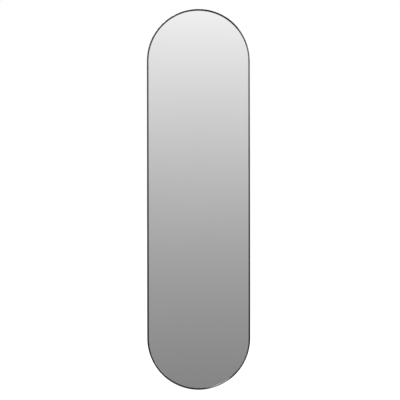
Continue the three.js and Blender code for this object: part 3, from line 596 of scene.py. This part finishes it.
def buildBallRow(node):
    p = ballRow
    low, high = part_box(node)
    middle = (low + high) / 2
    rowRise = (high.z - low.z) / 2 - p["ball"]
    rowDepth = low.y + p["margin"] + p["ball"]
    web = high.y - p["strip"] / 2
    bm = bmesh.new()
    line = [(low.y, -rowRise)]
    line += arcPoints((web - p["fold"], -rowRise + p["fold"]), p["fold"], -90, 0, 4)
    line += arcPoints((web - p["fold"], rowRise - p["fold"]), p["fold"], 0, 90, 4) + [(low.y, rowRise)]
    verts = [bm.verts.new((low.x, depth, middle.z + rise)) for depth, rise in line]
    edges = [bm.edges.new(pair) for pair in zip(verts, verts[1:])]
    grown = bmesh.ops.extrude_edge_only(bm, edges=edges)["geom"]
    bmesh.ops.translate(bm, verts=madeVerts(grown), vec=(high.x - low.x, 0, 0))
    bmesh.ops.recalc_face_normals(bm, faces=bm.faces)
    bmesh.ops.solidify(bm, geom=list(bm.faces), thickness=p["strip"])
    shift = high.y - max(vert.co.y for vert in bm.verts)
    bmesh.ops.translate(bm, verts=bm.verts, vec=(0, shift, 0))
    for i in range(p["balls"]):
        x = middle.x + (i - (p["balls"] - 1) / 2) * p["pitch"]
        for rise in (-rowRise, rowRise):
            centre = Vector((x, rowDepth, middle.z + rise))
            bmesh.ops.create_uvsphere(bm, u_segments=p["ballSteps"], v_segments=p["ballSteps"] // 2,
                                      radius=p["ball"], matrix=Matrix.Translation(centre))
            half, reach, grip = p["pocketThick"], p["ball"] + p["pocketWide"], p["ball"] * p["pocketGrip"]
            pocket = [(grip, -half), (reach - half / 2, -half), (reach, -half / 2),
                      (reach, half / 2), (reach - half / 2, half), (grip, half)]
            turn(bm, pocket + pocket[:1], centre, (0, 0, 1), 24)
    finishPiece(bm, node + "_fine", node)


for end in ends:
    for row in ("outer", "inner"):
        buildBallRow(f"{end}_{row}_ball_retainer")
print("ball retainers made")

# Pan-head screws: a domed head with a pressed cross, a threaded shank and a point. The dome is in shares of
# the head's radius and height
panScrew = {
    "head": 2.2 * mm, "shank": 2 * mm, "pitch": 1.4 * mm, "thread": 0.4 * mm, "threadRoot": (0.35, 0.55),
    "point": 2 * mm, "pointBlunt": 0.2, "steps": 16, "crossInner": 0.2, "crossOuter": 0.6,
    "crossRise": 0.97, "crossDeep": 1.2 * mm, "crossTaper": 0.8,
    "dome": ((0.8, 0.84), (0.93, 0.6), (1, 0.3), (1, 0.08), (0.97, 0)),
}
clipScrew = dict(panScrew, head=1.1 * mm, shank=1.5 * mm, pitch=1.1 * mm, thread=0.3 * mm, point=1.5 * mm,
                 crossDeep=0.7 * mm)


def screwOutline(look, radius, length):
    head, shank = look["head"], look["shank"]
    outline = [(0, head), (radius * look["crossInner"], head),
               (radius * look["crossOuter"], head * look["crossRise"])]
    outline += [(radius * share, head * rise) for share, rise in look["dome"]]
    along = -look["pitch"] / 2
    outline += [(shank, 0), (shank, along)]
    while along - look["pitch"] > look["point"] - length:
        outline += [(shank - look["thread"], along - look["pitch"] * share) for share in look["threadRoot"]]
        along -= look["pitch"]
        outline.append((shank, along))
    return outline + [(shank * look["pointBlunt"], -length), (0, -length)]


def turnScrew(bm, look, radius, length, centre, axis):
    centre, axis = Vector(centre), Vector(axis)
    steps = look["steps"]
    start = dice.uniform(0, math.pi / 2)
    across, faces = turn(bm, screwOutline(look, radius, length), centre, axis, steps, start)
    side = axis.cross(across)
    cross = []
    for face in faces:
        offset = face.calc_center_median() - centre
        along = offset.dot(axis)
        flat = offset - axis * along
        if along < look["head"] * 0.9 or flat.length > radius * look["crossOuter"]:
            continue
        sector = int(math.atan2(flat.dot(side), flat.dot(across)) % (2 * math.pi) / (2 * math.pi) * steps)
        if flat.length < radius * look["crossInner"] or sector % (steps // 4) == 0:
            cross.append(face)
    pressed = madeVerts(bmesh.ops.extrude_face_region(bm, geom=cross)["geom"])
    bmesh.ops.translate(bm, verts=pressed, vec=-axis * look["crossDeep"])
    for vert in pressed:
        offset = vert.co - centre
        along = axis * offset.dot(axis)
        vert.co = centre + along + (offset - along) * look["crossTaper"]


def buildScrew(node, facing):
    low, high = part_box(node)
    radius = (high.x - low.x) / 2
    seat = high.y - panScrew["head"] if facing > 0 else low.y + panScrew["head"]
    bm = bmesh.new()
    turnScrew(bm, panScrew, radius, high.y - low.y - panScrew["head"],
              ((low.x + high.x) / 2, seat, (low.z + high.z) / 2), (0, facing, 0))
    finishPiece(bm, node + "_turned", node, [zincScrew])


for i in range(6):
    buildScrew(f"leaf_screw_{i + 1}", 1)
for end in ends:
    for place in ("rear_spine_screw", "front_spine_screw", "buffer_screw"):
        buildScrew(f"{end}_{place}", -1)
print("screws turned")

# Retaining clips: a flat, rounded spring tongue, set in from the frame's rim by the nose length, with its
# screw
clip = {"thick": 0.8 * mm, "width": 14 * mm, "length": 17 * mm, "corner": 2 * mm, "round": 0.12 * mm,
        "nose": 2.0 * mm, "screwInset": 6 * mm, "screwRadius": 3 * mm, "bite": 6 * mm, "border": 0.3 * mm}


def buildClip(node):
    p = clip
    low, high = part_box(node)
    middle = (low + high) / 2
    rise = max(-stadium["rise"], min(stadium["rise"], middle.z))
    angle = math.atan2(middle.z - rise, middle.x - stadium["middle"])
    reach = stadium["radius"] - p["nose"]
    bm = bmesh.new()
    bmesh.ops.create_grid(bm, x_segments=1, y_segments=1, size=0.5)
    bmesh.ops.rotate(bm, verts=bm.verts, matrix=Matrix.Rotation(math.pi / 2, 3, "X"))
    bmesh.ops.scale(bm, verts=bm.verts, vec=(p["length"], 1, p["width"]))
    bmesh.ops.translate(bm, verts=bm.verts, vec=(-p["length"] / 2, 0, 0))
    bmesh.ops.bevel(bm, geom=list(bm.verts), offset=p["corner"], offset_type="OFFSET", affect="VERTICES",
                    segments=5, profile=0.5, material=-1)
    top = bmesh.ops.extrude_face_region(bm, geom=list(bm.faces))["geom"]
    bmesh.ops.translate(bm, verts=madeVerts(top), vec=(0, p["thick"], 0))
    bmesh.ops.recalc_face_normals(bm, faces=bm.faces)
    roundEdges(bm, sharpEdges(bm, 60), p["round"], 2, p["border"])
    turnScrew(bm, clipScrew, p["screwRadius"], p["thick"] + p["bite"],
              (p["screwInset"] - p["length"], p["thick"], 0), (0, 1, 0))
    bmesh.ops.rotate(bm, verts=bm.verts, cent=(0, 0, 0), matrix=Matrix.Rotation(-angle, 3, "Y"))
    acrossTo = stadium["middle"] + reach * math.cos(angle)
    upTo = rise + reach * math.sin(angle)
    bmesh.ops.translate(bm, verts=bm.verts, vec=(acrossTo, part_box("backing_board")[1].y, upTo))
    finishPiece(bm, node + "_sprung", node, [zincScrew])


for i in range(10):
    buildClip(f"retaining_clip_{i + 1}")

# Flush rivets through the plate and the outer rails, with the rings that the closing tool leaves, in shares
# of the radius
rivet = {"head": 4 * mm, "shank": 2.5 * mm, "sink": 1.5 * mm, "ease": 0.15 * mm, "dimple": 0.3 * mm,
         "headRing": (0.45, 0.55), "tailRing": (0.5, 0.35)}


def buildRivet(node):
    p = rivet
    low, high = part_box(node)
    long = high.y - low.y
    dimple, ring = (p["head"] * share for share in p["headRing"])
    tailRing, tailDimple = (p["shank"] * share for share in p["tailRing"])
    outline = [(0, -p["dimple"]), (dimple, -p["dimple"]), (ring, 0), (p["head"] - p["ease"], 0),
               (p["head"], -p["ease"]), (p["shank"], -p["sink"]), (p["shank"], p["ease"] - long),
               (p["shank"] - p["ease"], -long), (tailRing, -long), (tailDimple, p["ease"] - long),
               (0, p["ease"] - long)]
    bm = bmesh.new()
    turn(bm, outline, ((low.x + high.x) / 2, high.y, (low.z + high.z) / 2), (0, 1, 0), 32)
    finishPiece(bm, node + "_closed", node, [zincScrew])


for end in ends:
    for place in ("rear", "front"):
        buildRivet(f"{end}_{place}_rail_rivet")
print("clips and rivets made")

# Hinge post: a domed head, a ground shank with an oil groove near either ear, and a threaded tail, with the
# thread's crest and root in shares of its pitch
hingePost = {"shank": 4 * mm, "head": 6 * mm, "headHigh": 3 * mm, "tail": 3 * mm, "tailLong": 9 * mm,
             "ease": 0.3 * mm, "pitch": 1 * mm, "thread": 0.35 * mm, "groove": 0.3 * mm, "grooveAt": 8 * mm,
             "crest": 0.25, "root": 0.6, "dome": 0.55, "domeSteps": 6}


def buildHingePost():
    p = hingePost
    low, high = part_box("hinge_post")
    seat = high.z - p["headHigh"]
    shoulder = low.z + p["tailLong"]
    outline = [(0, low.z), (p["tail"] - p["thread"], low.z)]
    for i in range(int(p["tailLong"] / p["pitch"]) - 1):
        along = low.z + p["pitch"] * (i + 0.5)
        outline += [(p["tail"], along), (p["tail"], along + p["pitch"] * p["crest"]),
                    (p["tail"] - p["thread"], along + p["pitch"] * p["root"])]
    outline += [(p["tail"], shoulder), (p["shank"] - p["ease"], shoulder),
                (p["shank"], shoulder + p["ease"])]
    for along in (shoulder + p["grooveAt"], seat - p["grooveAt"]):
        outline += [(p["shank"], along - p["groove"] * 2), (p["shank"] - p["groove"], along - p["groove"]),
                    (p["shank"] - p["groove"], along + p["groove"]), (p["shank"], along + p["groove"] * 2)]
    outline += [(p["shank"], seat), (p["head"] - p["ease"], seat), (p["head"], seat + p["ease"])]
    for i in range(p["domeSteps"]):
        t = math.radians(90 / p["domeSteps"] * i)
        outline.append((p["head"] * math.cos(t), high.z - p["headHigh"] * p["dome"] * (1 - math.sin(t))))
    outline.append((0, high.z))
    bm = bmesh.new()
    turn(bm, outline, ((low.x + high.x) / 2, (low.y + high.y) / 2, 0), (0, 0, 1), 40)
    finishPiece(bm, "hinge_post_turned", "hinge_post")


buildHingePost()

# Lock nut: turned blank whose sides are pressed to a hexagon, with a round locking collar below
lockNut = {"flat": 5 * mm, "bore": 3.3 * mm, "high": 4 * mm, "collar": 4.4 * mm, "ease": 0.45 * mm,
           "chamfer": 0.95}


def buildLockNut():
    p = lockNut
    low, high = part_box("post_lock_nut")
    centre = Vector(((low.x + high.x) / 2, (low.y + high.y) / 2, 0))
    corner = p["flat"] / math.cos(math.pi / 6)
    bottom = high.z - p["high"]
    rim = p["flat"] * p["chamfer"]
    outline = [(p["bore"], high.z), (rim, high.z), (corner, high.z - p["ease"]),
               (corner, bottom + p["ease"]), (rim, bottom), (p["collar"], bottom),
               (p["collar"], low.z + p["ease"]), (p["collar"] - p["ease"], low.z), (p["bore"], low.z)]
    bm = bmesh.new()
    turn(bm, outline + outline[:1], centre, (0, 0, 1), 48)
    for vert in bm.verts:
        offset = Vector((vert.co.x - centre.x, vert.co.y - centre.y))
        if offset.length > p["flat"]:
            facet = (math.atan2(offset.y, offset.x) % (math.pi / 3)) - math.pi / 6
            offset *= min(1.0, p["flat"] / math.cos(facet) / offset.length)
            vert.co.x, vert.co.y = centre.x + offset.x, centre.y + offset.y
    finishPiece(bm, "post_lock_nut_pressed", "post_lock_nut", [zincScrew], sharpAngle=24)


buildLockNut()

# Nylon in the hinge: flanged bushes with eased rims, and thrust washers
nylonParts = {"bore": 4.3 * mm, "sleeve": 5.2 * mm, "flange": 6.4 * mm, "flangeThick": 1 * mm,
              "washer": 6 * mm, "ease": 0.2 * mm}


def buildBush(node, flangeUp):
    p = nylonParts
    low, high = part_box(node)
    long = high.z - low.z
    outline = [(p["bore"] + p["ease"], 0), (p["flange"] - p["ease"], 0), (p["flange"], -p["ease"]),
               (p["flange"], p["ease"] - p["flangeThick"]), (p["flange"] - p["ease"], -p["flangeThick"]),
               (p["sleeve"], -p["flangeThick"]), (p["sleeve"], p["ease"] - long),
               (p["sleeve"] - p["ease"], -long), (p["bore"], -long), (p["bore"], -p["ease"])]
    seat = ((low.x + high.x) / 2, (low.y + high.y) / 2, high.z if flangeUp else low.z)
    bm = bmesh.new()
    turn(bm, outline + outline[:1], seat, (0, 0, 1 if flangeUp else -1), 48)
    finishPiece(bm, node + "_moulded", node)


def buildThrustWasher(node):
    p = nylonParts
    low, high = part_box(node)
    outline = [(p["bore"], low.z), (p["washer"] - p["ease"], low.z), (p["washer"], low.z + p["ease"]),
               (p["washer"], high.z - p["ease"]), (p["washer"] - p["ease"], high.z), (p["bore"], high.z)]
    bm = bmesh.new()
    turn(bm, outline + outline[:1], ((low.x + high.x) / 2, (low.y + high.y) / 2, 0), (0, 0, 1), 48)
    finishPiece(bm, node + "_moulded", node)


for end, outerUp in (("upper", True), ("lower", False)):
    buildBush(f"{end}_outer_hinge_bush", outerUp)
    buildBush(f"{end}_inner_hinge_bush", not outerUp)
    buildThrustWasher(f"{end}_thrust_washer")
print("hinge parts turned")

# Stow buffers: a rubber cone with a rolled tip, a shallow waist and a recess that sinks its screw
stowBuffer = {"base": 8 * mm, "tip": 6.5 * mm, "recess": 4.6 * mm, "bore": 2.3 * mm, "floor": 4 * mm,
              "roll": 0.7 * mm, "waist": 0.3 * mm, "waistAt": (0.15, 0.3, 0.45, 0.6, 0.75)}


def buildStowBuffer(node):
    p = stowBuffer
    low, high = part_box(node)
    long = high.y - low.y
    outline = [(p["bore"], 0), (p["base"] - p["roll"] / 2, 0), (p["base"], p["roll"] / 2)]
    first, last = p["waistAt"][0], p["waistAt"][-1]
    for share in p["waistAt"]:
        radius = p["base"] + (p["tip"] - p["base"]) * share
        waist = p["waist"] * math.sin(math.pi * (share - first) / (last - first))
        outline.append((radius - waist, long * share))
    outline += arcPoints((p["tip"] - p["roll"], long - p["roll"]), p["roll"], 0, 90, 4)
    outline += arcPoints((p["recess"] + p["roll"] / 2, long - p["roll"] / 2), p["roll"] / 2, 90, 180, 3)
    outline += [(p["recess"], p["floor"]), (p["bore"], p["floor"]), (p["bore"], 0)]
    bm = bmesh.new()
    turn(bm, outline, ((low.x + high.x) / 2, high.y, (low.z + high.z) / 2), (0, -1, 0), 40)
    finishPiece(bm, node + "_moulded", node)


for end in ends:
    buildStowBuffer(end + "_stow_buffer")
print("buffers moulded")

# Camera: level, in front of the mirror, with the photograph's framing
shot = {"distance": 4.0, "pixels": 400, "objectPixels": 381.0, "centrePixelX": 198.55,
        "centrePixelY": 199.4, "sensor": 36.0, "roll": 0.07, "farthest": 50}


def buildCamera():
    pixel = (frameBox[1].z - frameBox[0].z) / shot["objectPixels"]
    data = bpy.data.cameras.new("photoCamera")
    data.sensor_width = shot["sensor"]
    data.lens = shot["sensor"] * shot["distance"] / (pixel * shot["pixels"])
    data.clip_end = shot["farthest"]
    camera = bpy.data.objects.new("photoCamera", data)
    half = shot["pixels"] / 2
    camera.location = (stadium["middle"] + (half - shot["centrePixelX"]) * pixel,
                       frameBox[0].y - shot["distance"], (shot["centrePixelY"] - half) * pixel)
    camera.rotation_euler = (math.pi / 2, math.radians(shot["roll"]), 0)
    scene.collection.objects.link(camera)
    scene.camera = camera


buildCamera()
print("camera placed")

# Studio: white to the camera, an even level on matt surfaces, and in reflections a graded wall with a dim
# ceiling and floor, an upright strip and four leaning screens
studio = {
    "fill": 0.68, "level": 0.493, "slope": 4.22, "lowest": -0.16, "highest": 0.16, "lift": 0.052,
    "liftEdge": (-0.07, 0.06), "floorTone": 0.1, "floorEdge": (-0.24, -0.6), "ceilingTone": 0.1,
    "ceilingEdge": (0.19, 0.34),
}
# An upright strip: where it starts, is full, starts to fade and ends, across and up the room
strip = {"across": (-0.7, -0.56, -0.3, -0.2), "up": (-0.16, 0.04, 0.15, 0.25), "level": 2.9}
# Screens beside the mirror, each leant by so many degrees from straight down. Three start so far out that
# of the frame only the outer corner shows them. The high one lights the lip's slope at the lower right
screens = {
    "low": {"lean": 21, "halfWidth": (0.2, 0.12), "reach": (0.58, 0.66, 1.1, 1.2), "level": 9.0},
    "right": {"lean": 116, "halfWidth": (0.32, 0.2), "reach": (0.5, 0.6, 1.1, 1.2), "level": 10.0},
    "left": {"lean": -115, "halfWidth": (0.16, 0.08), "reach": (0.5, 0.6, 1.1, 1.2), "level": 2.0},
    "high": {"lean": 213, "halfWidth": (0.13, 0.05), "reach": (0.18, 0.24, 0.44, 0.5), "level": 10.5},
}


def buildWorld():
    world = bpy.data.worlds.new("studio")
    scene.world = world
    world.use_nodes = True
    tree = world.node_tree
    tree.nodes.clear()
    direction = addNode(tree, "ShaderNodeTexCoord").outputs["Generated"]
    axes = addNode(tree, "ShaderNodeSeparateXYZ")
    feed(tree, axes.inputs[0], direction)
    height, across = axes.outputs["Z"], axes.outputs["X"]
    limited = sums(tree, "MINIMUM", sums(tree, "MAXIMUM", height, studio["lowest"]), studio["highest"])
    tone = sums(tree, "MULTIPLY", sums(tree, "EXPONENT", sums(tree, "MULTIPLY", limited, studio["slope"])),
                studio["level"])
    lifted = ramp(tree, height, *studio["liftEdge"], 1.0, 1.0 + studio["lift"])
    tone = sums(tree, "MULTIPLY", tone, lifted)
    floorShare = ramp(tree, height, *studio["floorEdge"])
    tone = sums(tree, "MULTIPLY", tone, sums(tree, "SUBTRACT", 1.0, floorShare))
    tone = sums(tree, "ADD", tone, sums(tree, "MULTIPLY", floorShare, studio["floorTone"]))
    ceiling = ramp(tree, height, *studio["ceilingEdge"], 1.0, studio["ceilingTone"])
    tone = sums(tree, "MULTIPLY", tone, ceiling)
    shape = strip["level"]
    for place, (start, full, fade, end) in ((across, strip["across"]), (height, strip["up"])):
        shape = sums(tree, "MULTIPLY", ramp(tree, place, start, full), shape)
        shape = sums(tree, "MULTIPLY", ramp(tree, place, end, fade), shape)
    tone = sums(tree, "ADD", tone, shape)
    for screen in screens.values():
        turned = addNode(tree, "ShaderNodeVectorRotate", {"Angle": math.radians(screen["lean"])},
                         rotation_type="Y_AXIS")
        feed(tree, turned.inputs["Vector"], direction)
        leaned = addNode(tree, "ShaderNodeSeparateXYZ")
        feed(tree, leaned.inputs[0], turned.outputs[0])
        lit = ramp(tree, sums(tree, "ABSOLUTE", leaned.outputs["X"]), *screen["halfWidth"])
        below = sums(tree, "MULTIPLY", leaned.outputs["Z"], -1.0)
        start, full, fade, end = screen["reach"]
        lit = sums(tree, "MULTIPLY", lit, ramp(tree, below, start, full))
        lit = sums(tree, "MULTIPLY", lit, ramp(tree, below, end, fade))
        tone = sums(tree, "ADD", tone, sums(tree, "MULTIPLY", lit, screen["level"]))

    path = addNode(tree, "ShaderNodeLightPath").outputs
    plain = sums(tree, "MAXIMUM", path["Is Camera Ray"], path["Is Transmission Ray"])
    matt = sums(tree, "ADD", sums(tree, "MULTIPLY", plain, 1.0 - studio["fill"]), studio["fill"])
    matt = sums(tree, "MULTIPLY", sums(tree, "SUBTRACT", 1.0, path["Is Glossy Ray"]), matt)
    strength = sums(tree, "ADD", sums(tree, "MULTIPLY", path["Is Glossy Ray"], tone), matt)
    background = addNode(tree, "ShaderNodeBackground", {"Color": grey(1)})
    feed(tree, background.inputs["Strength"], strength)
    feed(tree, addNode(tree, "ShaderNodeOutputWorld").inputs["Surface"], background.outputs[0])


buildWorld()

lamps = {
    "keyLamp": {"place": (-1.6, -2.2, 2.3), "size": 1.6, "power": 46},
    "fillLamp": {"place": (2.2, -1.4, 0.9), "size": 1.4, "power": 24},
    "backLamp": {"place": (-0.6, 2.4, 1.9), "size": 1.6, "power": 34},
}
for name, lamp in lamps.items():
    light = bpy.data.lights.new(name, "AREA")
    light.shape = "DISK"
    light.size = lamp["size"]
    light.energy = lamp["power"]
    holder = bpy.data.objects.new(name, light)
    holder.location = lamp["place"]
    holder.rotation_euler = (-Vector(lamp["place"])).to_track_quat("-Z", "Y").to_euler()
    scene.collection.objects.link(holder)

# Floor: white to the camera, glowing less near the mirror so that its shadow shows
floor = {"height": -0.76, "size": 40.0, "tone": 0.62, "glow": (0.3, 0.62), "reach": (0.4, 2.2)}


def buildFloor():
    bm = bmesh.new()
    bmesh.ops.create_grid(bm, x_segments=1, y_segments=1, size=floor["size"],
                          matrix=Matrix.Translation((0, 0, floor["height"])))
    mesh = bpy.data.meshes.new("studioFloor")
    bm.to_mesh(mesh)
    bm.free()
    material = bpy.data.materials.new("paleFloor")
    material.use_nodes = True
    tree = material.node_tree
    tree.nodes.clear()
    matt = addNode(tree, "ShaderNodeBsdfDiffuse", {"Color": grey(floor["tone"])})
    glow = addNode(tree, "ShaderNodeEmission", {"Color": grey(1)})
    reach = addNode(tree, "ShaderNodeVectorMath", operation="LENGTH")
    feed(tree, reach.inputs[0], addNode(tree, "ShaderNodeTexCoord").outputs["Object"])
    level = ramp(tree, reach.outputs["Value"], *floor["reach"], *floor["glow"])
    seen = addNode(tree, "ShaderNodeLightPath").outputs["Is Camera Ray"]
    feed(tree, glow.inputs["Strength"], sums(tree, "MULTIPLY", seen, level))
    both = addNode(tree, "ShaderNodeAddShader")
    feed(tree, both.inputs[0], matt.outputs[0])
    feed(tree, both.inputs[1], glow.outputs[0])
    feed(tree, addNode(tree, "ShaderNodeOutputMaterial").inputs["Surface"], both.outputs[0])
    mesh.materials.append(material)
    ground = bpy.data.objects.new("studioFloor", mesh)
    ground.visible_glossy = False
    scene.collection.objects.link(ground)


buildFloor()
scene.view_settings.view_transform = "Standard"
print("studio made")
